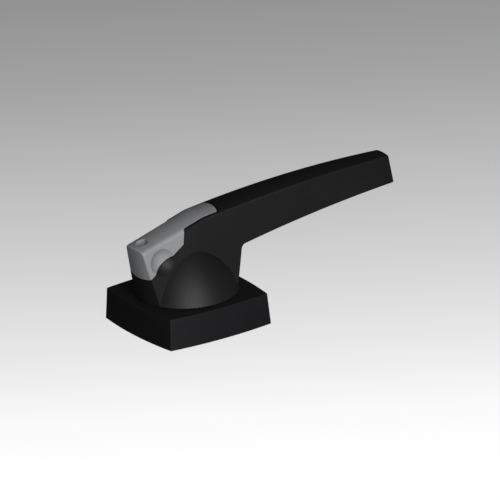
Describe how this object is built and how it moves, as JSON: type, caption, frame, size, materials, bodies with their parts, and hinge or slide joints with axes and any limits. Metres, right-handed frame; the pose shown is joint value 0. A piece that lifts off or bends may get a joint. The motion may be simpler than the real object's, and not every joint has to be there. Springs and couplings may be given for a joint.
{
  "type": "tilt turn window handle",
  "caption": "Black lever window handle on a square bowed rosette, with a flared domed hub, a drafted grip and a grey rocking catch let into the nose.",
  "frame": {"origin": "centre of the handle's back face, on the spindle axis", "axes": "+Z along the spindle axis, away from the window sash; +X along the closed lever, from hub to grip tip"},
  "size_m": [0.1539, 0.0644, 0.0618],
  "materials": {
    "rosette_black": "fine satin black moulding",
    "lever_black": "fine satin black powder coat on die-cast zinc",
    "catch_grey": "satin mid grey moulding",
    "cast_zinc": "bare die-cast zinc",
    "plated_steel": "zinc plated",
    "screw_steel": "bright zinc plated",
    "spring_steel": "oiled spring steel",
    "pin_steel": "ground steel",
    "bearing_plastic": "natural acetal",
    "bush_brass": "turned"
  },
  "bodies": {
    "rosette": {"rosette_cover": "rosette_black", "base_plate": "cast_zinc", "back_plate": "plated_steel", "corner_screws": "screw_steel", "bearing_bush": "bearing_plastic", "detent_springs": "spring_steel"},
    "lever": {"lever_body": "lever_black", "spindle_driver": "cast_zinc", "driver_screw": "screw_steel", "driver_screw_washer": "spring_steel", "index_cam": "plated_steel", "retaining_ring": "spring_steel", "thrust_washer": "bearing_plastic", "lock_pin_bush": "bush_brass", "lock_pin_spring": "spring_steel", "catch_pivot_pin": "pin_steel", "catch_spring": "spring_steel", "catch_spring_screw": "screw_steel"},
    "catch": {"catch": "catch_grey", "stop_screw": "screw_steel"},
    "lock_pin": {"lock_pin": "pin_steel"}
  },
  "joints": [
    {"name": "lever_turn", "type": "hinge", "parent": "rosette", "child": "lever", "pos_m": [0, 0, 0], "axis": [0, 0, 1], "range_deg": [0, 180], "deforming": ["detent_springs"]},
    {"name": "catch_rock", "type": "hinge", "parent": "lever", "child": "catch", "pos_m": [-0.002, 0, 0.0492], "axis": [0, 1, 0], "range_deg": [0, 6], "deforming": ["catch_spring", "lock_pin_spring"]},
    {"name": "lock_slide", "type": "slide", "parent": "lever", "child": "lock_pin", "axis": [0, 0, -1], "range_m": [0, 0.0017]}
  ],
  "couplings": [
    {"joint": "lock_slide", "follows": "catch_rock", "m_per_rad": 0.0162}
  ]
}
